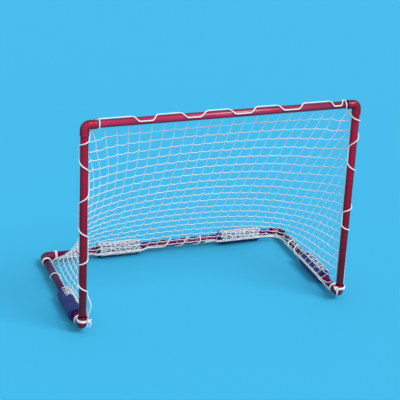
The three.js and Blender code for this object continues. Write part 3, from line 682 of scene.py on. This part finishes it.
# Knots on a grid as wide as the lowest row, each higher row using the middle of it
rows = np.arange(slope_cells + 1)
flare = np.rint(side_cells * rows / slope_cells).astype(int)
columns = np.arange(-side_cells, mouth_cells + side_cells + 1)
knot_grid = np.zeros((len(rows), len(columns), 3))
knot_grid[0, side_cells:side_cells + mouth_cells + 1] = split(top_edge, mouth_cells)
knot_grid[rows, side_cells - flare] = left_post_border
knot_grid[rows, side_cells + mouth_cells + flare] = right_post_border
knot_grid[-1] = np.vstack([
    left_rail_border[:-1], split(rear_edge, mouth_cells), right_rail_border[::-1][1:],
])
in_net = (columns >= -flare[:, None]) & (columns <= mouth_cells + flare[:, None])
on_edge = (columns == -flare[:, None]) | (columns == mouth_cells + flare[:, None])
on_edge[[0, -1]] = True
knot_number = np.cumsum(in_net).reshape(in_net.shape) - 1
knot_places, knot_fixed = knot_grid[in_net], on_edge[in_net]
beside, below = in_net[:, :-1] & in_net[:, 1:], in_net[:-1] & in_net[1:]
row_strands = np.stack([knot_number[:, :-1][beside], knot_number[:, 1:][beside]], -1)
column_strands = np.stack([knot_number[:-1][below], knot_number[1:][below]], -1)
strands = np.vstack([row_strands, column_strands])
in_row = np.arange(len(strands)) < len(row_strands)


def hang(places, fixed, ends, weight, rounds):
    """Settles a net: every free knot is pulled evenly by its strands and down by its weight,
    which is one linear solve, and longer strands then pull harder, a few times over."""
    pull = np.ones(len(ends))
    free = ~fixed
    for _ in range(rounds + 1):
        stiffness = np.zeros((len(places), len(places)))
        np.add.at(stiffness, (ends[:, 0], ends[:, 1]), -pull)
        np.add.at(stiffness, (ends[:, 1], ends[:, 0]), -pull)
        np.add.at(stiffness, (ends[:, 0], ends[:, 0]), pull)
        np.add.at(stiffness, (ends[:, 1], ends[:, 1]), pull)
        load = np.zeros((free.sum(), 3))
        load[:, 2] = -weight
        load -= stiffness[np.ix_(free, fixed)] @ places[fixed]
        places[free] = np.linalg.solve(stiffness[np.ix_(free, free)], load)
        length = np.linalg.norm(places[ends[:, 0]] - places[ends[:, 1]], axis=1)
        pull *= np.clip(length / length.mean(), least_pull, most_pull) ** pull_power
    return places


knot_places = hang(knot_places, knot_fixed, strands, net_weight, settle_rounds)


def twine_curves(first, second, droop, steps=5):
    """One short curve for each pair of ends, sagging in the middle by its droop."""
    share = np.linspace(0, 1, steps + 1)[None, :, None]
    line = first[:, None] * (1 - share) + second[:, None] * share
    line[..., 2] -= (4 * share * (1 - share))[..., 0] * droop[:, None]
    return line


def twine_tubes(curves, radius, sides):
    """A thin tube round each curve, its rings square to the curve and set to one reference
    direction, so that no ring twists."""
    reference = [0.36, 0.48, 0.8]
    tangent = unit(np.gradient(curves, axis=1))
    across = unit(np.cross(tangent, reference))
    beside = np.cross(tangent, across)
    angle = 2 * np.pi * np.arange(sides) / sides
    ring = np.cos(angle)[:, None] * across[:, :, None] + np.sin(angle)[:, None] * beside[:, :, None]
    points = curves[:, :, None] + radius * ring
    count, steps = curves.shape[:2]
    one = ring_faces(steps, sides, False)
    faces = (one[None] + np.arange(count)[:, None, None] * steps * sides).reshape(-1, 4)
    return points.reshape(-1, 3), faces


rng = np.random.default_rng(7)
lump_spread = 0.85, 1.15


def lumps(centres, radius, flat, sides=8, rings=5):
    """A small rounded lump at each centre: a ball of rings, pressed flat along one direction
    and uneven from lump to lump."""
    latitude = np.pi * (np.arange(rings) + 0.5) / rings
    angle = 2 * np.pi * np.arange(sides) / sides
    ball = np.stack([
        np.sin(latitude)[:, None] * np.cos(angle), np.sin(latitude)[:, None] * np.sin(angle),
        np.repeat(np.cos(latitude)[:, None], sides, 1),
    ], -1)
    spread = rng.uniform(*lump_spread, (len(centres), 1, 1, 3)) * [1, flat, 1]
    points = centres[:, None, None] + radius * spread * ball
    one = ring_faces(rings, sides, False)
    first_point = np.arange(len(centres))[:, None] * rings * sides
    faces = (one[None] + first_point[..., None]).reshape(-1, 4)
    top_cap, end_cap = np.arange(sides), np.arange(sides)[::-1] + (rings - 1) * sides
    caps = np.concatenate([top_cap[None] + first_point, end_cap[None] + first_point])
    return points.reshape(-1, 3), faces, caps[:, ::-1].tolist()


# Strands sag by a share of their length. Knots are pressed flat to a share of their radius, and
# the hitches on the border rope a little less
row_sag, column_sag = (0.06, 0.13), (0, 0.04)
knot_flat, hitch_radius, hitch_flat, twine_sides = 0.8, 3.4 * mm, 0.9, 6
first, second = knot_places[strands[:, 0]], knot_places[strands[:, 1]]
both_fixed = knot_fixed[strands].all(1)
strand_length = np.linalg.norm(second - first, axis=1)
row_droop = rng.uniform(*row_sag, len(strands))
column_droop = rng.uniform(*column_sag, len(strands))
droop = strand_length * np.where(in_row, row_droop, column_droop)
net_curves = twine_curves(first[~both_fixed], second[~both_fixed], droop[~both_fixed])
net_parts = [
    (*twine_tubes(net_curves, twine_radius, twine_sides), []),
    lumps(knot_places[~knot_fixed], knot_radius, knot_flat),
    lumps(knot_places[knot_fixed], hitch_radius, hitch_flat),
]

# On the floats the net's slack is bunched: rows of knots lie one above another round the foam,
# each bunch between two angles in degrees and two distances along the float, and the twine
# between them folds into loops
bunch_twine, bunch_knot = 1.25 * mm, 2.1 * mm
bunch_sides, bunch_knot_sides, bunch_knot_rings = 5, 6, 4
bunch_near, bunch_far = 9 * mm, float_length - 9 * mm
close_rows, close_mesh = 6.2 * mm, 24 * mm
open_rows, open_mesh = 21 * mm, 42 * mm
left_top_near = 132 * mm
bunches = [
    ("left_float", 10, 56, bunch_near, bunch_far, close_rows, close_mesh),
    ("left_float", 62, 106, left_top_near, bunch_far, close_rows, close_mesh),
    ("right_float", 68, 128, bunch_near, bunch_far, open_rows, open_mesh),
    ("rear_left_float", -22, 98, bunch_near, bunch_far, close_rows, close_mesh),
    ("rear_right_float", 6, 82, bunch_near, bunch_far, close_rows, close_mesh),
]

# How far the bunched knots lie astray, and how far the strands and loops stray between them:
# round the float in degrees, and along and above it in millimetres
knot_round, knot_along, knot_above = (-2, 2), (-4, 4), (0, 1.2)
strand_round, strand_above = (-5, 5), (0, 1.2)
loop_along, loop_above = (4, 9), (0.8, 2.2)
strand_points = 8


def on_float(tube, distance, angle, height):
    """Curves on a float from grids of distance, angle and height above its skin."""
    flat = around(tube, distance.ravel(), angle.ravel(), skin_radius + height.ravel())[:, :3]
    return flat.reshape(*distance.shape, 3)


def bunched(tube, start, low, high, near, far, row_gap, mesh):
    """Squeezed meshes on a float: a grid of knots set a little astray, a wavy strand between
    knots of a row, and a loop of twine, thrown to either side, between one row and the next."""
    count = int(round(np.radians(high - low) * float_radius / row_gap)) + 1
    meshes = int(round((far - near) / mesh)) + 1
    angle = np.linspace(low, high, count)[:, None] + rng.uniform(*knot_round, (count, meshes))
    run = np.linspace(near, far, meshes)[None]
    distance = start + run + rng.uniform(*knot_along, (count, meshes)) * mm
    height = bunch_twine + rng.uniform(*knot_above, (count, meshes)) * mm
    share = np.linspace(0, 1, strand_points)[None, None]
    swing = np.sin(np.pi * share)

    def strand(before, after):
        return before[..., None] * (1 - share) + after[..., None] * share

    def row(grid):
        return strand(grid[:, :-1], grid[:, 1:])

    def column(grid):
        return strand(grid[:-1], grid[1:])

    wave = rng.uniform(*strand_round, (count, meshes - 1, 1)) * swing
    rise = rng.uniform(*strand_above, (count, meshes - 1, 1)) * swing * mm
    either_side = rng.choice([-1, 1], (count - 1, meshes, 1))
    loop = either_side * rng.uniform(*loop_along, (count - 1, meshes, 1)) * swing * mm
    lift = rng.uniform(*loop_above, (count - 1, meshes, 1)) * swing * mm
    curves = [
        on_float(tube, row(distance), row(angle) + wave, row(height) + rise),
        on_float(tube, column(distance) + loop, column(angle), column(height) + lift),
    ]
    knots = on_float(tube, distance, angle, height)
    return np.vstack([curve.reshape(-1, share.size, 3) for curve in curves]), knots.reshape(-1, 3)


for node, *bunch in bunches:
    bunch_curves, bunch_knots = bunched(tubes[float_rails[node]], float_starts[node], *bunch)
    net_parts.append((*twine_tubes(bunch_curves, bunch_twine, bunch_sides), []))
    net_parts.append(
        lumps(bunch_knots, bunch_knot, knot_flat, bunch_knot_sides, bunch_knot_rings)
    )


def merged(parts):
    """Several meshes as one: their points in a row and their faces renumbered."""
    offsets = np.cumsum([0] + [len(points) for points, _, _ in parts])
    all_points = np.concatenate([points for points, _, _ in parts])
    all_faces = np.concatenate([faces + o for (_, faces, _), o in zip(parts, offsets)])
    all_caps = []
    for (_, _, caps), offset in zip(parts, offsets):
        all_caps += (np.array(caps, dtype=int) + offset).tolist()
    return all_points, all_faces, all_caps


twine_white = white_fibre("white twine", srgb(250, 250, 250), srgb(230, 234, 238), scale=1500.0)
add_piece(
    "net_mesh", *merged(net_parts), twine_white, "twine",
    "net_left", "net_left_shoulder", "net_back", "net_right_shoulder", "net_right",
)

# Mouth lacing. One white braided cord, tied at the feet of both posts and led up the left one,
# along the crossbar and down the right one. It changes sides across the front of each tube, and
# it goes round the tube at both ends of the crossbar and at the foot of each post.
cord_radius = 2.8 * mm
cord_gap, foot_gap, corner_gap = 0.7 * mm, 0.9 * mm, 0.4 * mm
cord_offset = pipe_radius + cord_gap + cord_radius
outer_angle, inner_angle, top_angle, dip_angle, bar_wrap_angle = 110, -86, 104, 12, -78
end_turn_start, end_turn_pitch, end_turns = socket_end + 8 * mm, 5.8 * mm, 2
end_turn_reach = end_turns * end_turn_pitch
end_turn_end = end_turn_start + end_turn_reach
foot_turn_top, foot_slack = 38 * mm, 14 * mm
foot_cord_offset = bead_radius + foot_gap + cord_radius
turn_step, least_steps, slack_steps = 5, 12, 50
corner_round, corner_back = 6 * mm, np.array([3, 6, 6, 3]) * mm

# Where the cord starts and ends each crossing of a tube, in shares of the tube's length
left_post_crossing_shares = [
    [0.168, 0.234], [0.312, 0.354], [0.446, 0.512], [0.614, 0.684], [0.768, 0.844], [0.900, 0.938],
]
right_post_crossing_shares = [
    [0.337, 0.379], [0.443, 0.485], [0.639, 0.708], [0.782, 0.857], [0.905, 0.945],
]
crossbar_crossing_shares = [
    [0.161, 0.188], [0.231, 0.259], [0.330, 0.360], [0.402, 0.440], [0.504, 0.534],
    [0.586, 0.621], [0.688, 0.714], [0.766, 0.799], [0.890, 0.905], [0.930, 0.946],
]


def crossings(tube, shares, here, there):
    """Stations of distance and angle for a cord that changes sides between each two shares."""
    stations = []
    for start, end in shares:
        stations += [[start * tube["length"], here], [end * tube["length"], there]]
        here, there = there, here
    return stations


def on_tube(tube, stations, ease_share, offset=cord_offset):
    """A cord on a tube from station to station: the angle changes at an eased rate, so that
    the cord leaves and meets its straight runs smoothly."""
    pieces = []
    for (start, start_angle), (end, end_angle) in zip(stations[:-1], stations[1:]):
        steps = max(int(abs(end_angle - start_angle) / turn_step), least_steps)
        share = np.linspace(0, 1, steps + 1)
        turn = (1 - ease_share) * share + ease_share * share * share * (3 - 2 * share)
        distance = start + (end - start) * share
        angle = start_angle + (end_angle - start_angle) * turn
        pieces.append(around(tube, distance, angle, offset))
    return np.vstack(pieces)


def close_turns(tube, distance, angle, way, offset=cord_offset):
    """Turns side by side at a cord's tied end, from where the cord comes in."""
    tied = [distance + way * end_turn_reach, angle + way * end_turns * 360]
    return on_tube(tube, [[distance, angle], tied], 0, offset)


def slack_run(tube, start, end, angle):
    """The cord's slack stretch from the turns on a foot's fitting up to its first crossing: it
    stands away from the tube in the middle and meets both ends smoothly."""
    share = np.linspace(0, 1, slack_steps)
    offset = foot_cord_offset + (cord_offset - foot_cord_offset) * share
    slack = foot_slack * np.sin(np.pi * share) ** 2
    return around(tube, start + (end - start) * share, angle, offset + slack)


def top_corner(inward, corner_x):
    """The cord across the inside of a top corner, clear of the fitting."""
    clear = bead_radius + corner_gap + cord_radius
    run = np.array([clear, clear, clear + corner_round, socket_end])
    drop = np.array([socket_end, clear + corner_round, clear, clear])
    points = np.stack([corner_x + inward * run, mouth_y + corner_back, top_z - drop], -1)
    lean = np.linspace(0, 1, len(run))[:, None]
    return np.hstack([points, unit((1 - lean) * inward * x_axis - lean * z_axis)])


bar_wrap, bar_wrap_end = 56 * mm, 61 * mm
crossing_ease = 0.85
bar_stations = [
    [bar_wrap, bar_wrap_angle], [bar_wrap_end, top_angle],
    *crossings(tubes["crossbar"], crossbar_crossing_shares, top_angle, dip_angle),
    [mouth_width - bar_wrap_end, top_angle], [mouth_width - bar_wrap, bar_wrap_angle],
]
left_post, right_post = tubes["left_post"], tubes["right_post"]
left_stations = crossings(left_post, left_post_crossing_shares, inner_angle, outer_angle)
right_stations = crossings(right_post, right_post_crossing_shares, outer_angle, inner_angle)
mouth_path = chained(
    close_turns(left_post, foot_turn_top, inner_angle, -1, foot_cord_offset)[::-1],
    slack_run(left_post, foot_turn_top, left_stations[0][0], inner_angle),
    on_tube(left_post, left_stations, crossing_ease),
    top_corner(1, left_x),
    on_tube(tubes["crossbar"], bar_stations, crossing_ease),
    top_corner(-1, right_x)[::-1],
    on_tube(right_post, right_stations, crossing_ease)[::-1],
    close_turns(right_post, foot_turn_top, outer_angle, -1, foot_cord_offset),
)

braid_pitch, braid_ridges, braid_depth = 4.5 * mm, 4, 0.08
cord_step, cord_easing, cord_sides = 1.5 * mm, 4, 16


def braided(radius):
    """The radius of a round braid: two sets of ridges that cross in diamonds."""
    def radius_at(angle, distance):
        lean = 2 * np.pi * distance / braid_pitch
        one_way = np.cos(braid_ridges * angle + lean)
        other_way = np.cos(braid_ridges * angle - lean)
        return radius * (1 - braid_depth + braid_depth * one_way * other_way)
    return radius_at


cord_white = white_fibre("white cord", srgb(250, 250, 250), srgb(228, 230, 234), scale=1300.0)


def add_cord(name, path, *nodes):
    """A braided cord along a path of points on the tubes."""
    walk = eased(spaced(path, cord_step), cord_easing)
    points, faces, caps = swept(walk, braided(cord_radius), cord_sides)
    add_piece(name, points, faces, caps, cord_white, "cord", *nodes)


add_cord("mouth_lacing_cord", mouth_path, "mouth_lacing")

# Base lacing. Two lengths of the same cord. They run under the border rope past the floats
# and corners, and go round tube and rope together on the bare stretches of the rails.
below_gap = 0.9 * mm
below_rope = rope_radius + cord_radius + below_gap
below_angle = -np.degrees(np.arcsin(below_rope / cord_offset))
float_reach = rope_margin + rope_blend
wrap_entry, wrap_exit = 9 * mm, 26 * mm
lacing_rear_cells, lacing_left_cells, lacing_right_cells = 13, 5, 8
swell_angle, wrap_points, beside_points = 58, 61, 80
slant_share = 0.6


def wrap_radius(angle):
    """The cord's radius round a tube, swelling out over the rope at the tube's front by a
    squared cosine that fades out at an angle to either side."""
    turn = np.abs((angle + 180) % 360 - 180)
    swell = np.cos(np.minimum(turn / swell_angle, 1) * np.pi / 2) ** 2
    return cord_offset + 2 * (rope_radius + rope_gap) * swell


def border_turns(tube, border, start, end):
    """Turns round tube and rope between two distances, each from the middle of one mesh of the
    border to the middle of the next. The cord moves on along the tube fastest where it passes
    the rope, at an even pace plus a share of it times a cosine, so that it slants there."""
    places = (border - tube["start"]) @ tube["along"]
    middles = (places[1:] + places[:-1]) / 2
    middles = middles[(middles > start + wrap_entry) & (middles < end - wrap_exit)]
    pieces = []
    share = np.linspace(0, 1, wrap_points)
    for index, here in enumerate(middles):
        last = index == len(middles) - 1
        onward = here + wrap_exit if last else middles[index + 1]
        angle = share * (360 + below_angle if last else 360)
        slant = 0 if last else slant_share * np.sin(2 * np.pi * share) / (2 * np.pi)
        distance = here + (onward - here) * (share + slant)
        if index == 0:
            pieces.append(around(tube, here - wrap_entry, below_angle, wrap_radius(below_angle)))
        pieces.append(around(tube, distance, angle, wrap_radius(angle)))
    return pieces


def lowered(points):
    """A stretch of the rope's own path, let down by both half widths and a gap, so that the
    cord lies under the rope."""
    down = np.tile(-z_axis, (len(points), 1))
    return np.hstack([points[:, :3] - below_rope * z_axis, down])


def rail_lacing(tube, border, starts, rope_from, rope_to, end, rise=0):
    """The cord along a rail: under the rope beside each float, and rising with it by so many
    degrees, and round tube and rope between them."""
    pieces = []
    bare_from = rope_from
    for start in starts:
        pieces += border_turns(tube, border, bare_from, start - float_reach)
        bare_from = start + float_length + float_reach
        beside_from, beside_to = max(start - float_reach, end_turn_end), min(bare_from, end)
        stops = np.linspace(beside_from, beside_to, beside_points)
        share = float_share(stops, starts, False)
        beside_rope = np.degrees(np.arctan2(below_rope, stand_off(share)))
        reach = np.hypot(stand_off(share), below_rope)
        cord = around(tube, stops, rise * share - beside_rope, reach)
        pieces.append(np.hstack([cord[:, :3], np.tile(-z_axis, (len(stops), 1))]))
    pieces += border_turns(tube, border, bare_from, rope_to)
    return np.vstack(pieces)


left_meshes = side_border(left_rope, 1, lacing_left_cells)[1]
right_meshes = side_border(right_rope, 1, lacing_right_cells)[1]
rear_meshes = split(rear_edge, lacing_rear_cells)
tied_at = base_depth - end_turn_end
left_rail, right_rail = tubes["left_side_rail"], tubes["right_side_rail"]
rear_rail = tubes["rear_rail"]
left_lacing = chained(
    close_turns(left_rail, end_turn_end, below_angle, -1)[::-1],
    rail_lacing(
        left_rail, left_meshes, [float_starts["left_float"]], side_rope_from, side_rope_to, tied_at,
    ),
    close_turns(left_rail, tied_at, below_angle, 1),
)
rear_rope_to = mouth_width - rear_rope_start
rear_lacing = chained(
    close_turns(rear_rail, end_turn_end, below_angle, -1)[::-1],
    rail_lacing(rear_rail, rear_meshes, rear_starts, rear_rope_start, rear_rope_to, rear_rope_to),
    lowered(right_rope["rear"][::-1]),
    rail_lacing(
        right_rail, right_meshes, [float_starts["right_float"]], side_rope_from, side_rope_to,
        side_rope_to, right_hem_rise,
    )[::-1],
    close_turns(right_rail, end_turn_end, below_angle, -1),
)
add_cord("left_rail_lacing_cord", left_lacing, "left_rail_lacing")
add_cord("rear_and_right_lacing_cord", rear_lacing, "rear_and_right_rail_lacing")

# Foot knots. An overhand knot with two hanging tails on the close turns at each post's foot,
# where the lacing is made fast.
knot_unit = 3.75 * mm
knot_depth = 6.0 * mm
knot_tail = 20 * mm
tail_lean, tail_spread = 5 * mm, 2.5 * mm
knot_bite, knot_opening, knot_slant = 0.9 * mm, 0.11, 0.2
knot_points, tail_points = 160, 20
knot_offset = foot_cord_offset + 2 * cord_radius + knot_depth - knot_bite


def foot_knot(tube, angle, leaving_angle):
    """A three-lobed knot curve, opened at its lowest lobe. From the opening two tails hang down,
    and lean in and part by the square of the share of the way."""
    turn = (leaving_angle - angle) % 360 / 360
    centre = around(tube, foot_turn_top - end_turn_pitch * turn, angle, knot_offset)[0]
    out = centre[3:]
    across = np.cross(tube["along"], out)
    end = np.pi * (1 - knot_opening)
    phase = np.linspace(-end, end, knot_points)[:, None]
    loop = centre[:3] + knot_unit * (np.sin(phase) + 2 * np.sin(2 * phase)) * across
    loop = loop + knot_unit * (np.cos(phase) - 2 * np.cos(2 * phase)) * tube["along"]
    loop = loop - knot_depth * np.sin(3 * phase) * out
    share = np.linspace(1, 0, tail_points)[:, None]
    fall = -knot_tail * share * tube["along"] - tail_lean * share ** 2 * out
    spread = tail_spread * share ** 2 * across
    points = chained(loop[0] + fall - spread, loop, (loop[-1] + fall + spread)[::-1])
    return np.hstack([points, np.tile(unit(out + knot_slant * across), (len(points), 1))])


left_knot = foot_knot(left_post, inner_angle / 2, inner_angle)
right_knot = foot_knot(right_post, inner_angle / 2, outer_angle)
add_cord("left_foot_knot_cord", left_knot, "left_foot_knot")
add_cord("right_foot_knot_cord", right_knot, "right_foot_knot")

# Floor, light and camera. A plain floor under the floats, pool blue to the camera and paler in
# the light that it sends back. Soft light comes from above, and the camera has a long lens and
# stands in front of the mouth, to its left and above it.
floor_half = 40
floor_blue, returned_blue = srgb(50, 178, 224), srgb(124, 182, 208)
signs = [(-1, -1), (1, -1), (1, 1), (-1, 1)]
floor_corners = [(x * floor_half, y * floor_half, 0) for x, y in signs]
floor_mesh = bpy.data.meshes.new("floor")
floor_mesh.from_pydata(floor_corners, [], [(0, 1, 2, 3)])
floor = bpy.data.objects.new("floor", floor_mesh)
bpy.context.scene.collection.objects.link(floor)
floor_paint, floor_tree, floor_shader, _ = new_material("pool blue floor", roughness=0.9)
seen = floor_tree.nodes.new("ShaderNodeLightPath").outputs["Is Camera Ray"]
floor_colour = blend_colour(floor_tree, seen, returned_blue, floor_blue)
floor_tree.links.new(floor_colour, floor_shader.inputs["Base Color"])
floor_mesh.materials.append(floor_paint)

world = bpy.data.worlds.new("soft light")
world.use_nodes = True
sky = world.node_tree.nodes["Background"]
sky.inputs["Color"].default_value = (0.92, 0.96, 1.0, 1)
sky.inputs["Strength"].default_value = 0.62
bpy.context.scene.world = world
sun = bpy.data.objects.new("sun", bpy.data.lights.new("sun", "SUN"))
sun.data.energy = 2.2
sun.data.angle = np.radians(28)
sun.rotation_euler = np.radians([42, 6, 31])
bpy.context.scene.collection.objects.link(sun)

# The camera's turn, lift and roll in degrees, its aim and distance in shares of the mouth's
# width, its focal length and picture width in pixels, and its sensor's width in millimetres
turn, lift, roll = np.radians([-20.69, 23.21, 2.77])
aim_right, aim_down, stand_back = 0.0267, 0.0606, 4.977
focal_pixels, picture_pixels, sensor = 1332, 400, 36
back = np.array([np.sin(turn) * np.cos(lift), -np.cos(turn) * np.cos(lift), np.sin(lift)])
right = np.array([np.cos(turn), np.sin(turn), 0])
up = np.cross(back, right)
rolled_right = np.cos(roll) * right + np.sin(roll) * up
rolled_up = -np.sin(roll) * right + np.cos(roll) * up
aim = np.array([0, (mouth_y + rear_y) / 2, (base_z + top_z) / 2])
aim += aim_right * mouth_width * rolled_right - aim_down * mouth_width * rolled_up
stand = aim + stand_back * mouth_width * back
camera = bpy.data.objects.new("camera", bpy.data.cameras.new("camera"))
camera.data.sensor_width = sensor
camera.data.lens = focal_pixels * sensor / picture_pixels
camera.data.clip_end = 200
camera_place = np.vstack([np.stack([rolled_right, rolled_up, back, stand], -1), [0, 0, 0, 1]])
camera.matrix_world = Matrix(camera_place.tolist())
bpy.context.scene.collection.objects.link(camera)
bpy.context.scene.camera = camera
bpy.context.scene.view_settings.view_transform = "Standard"
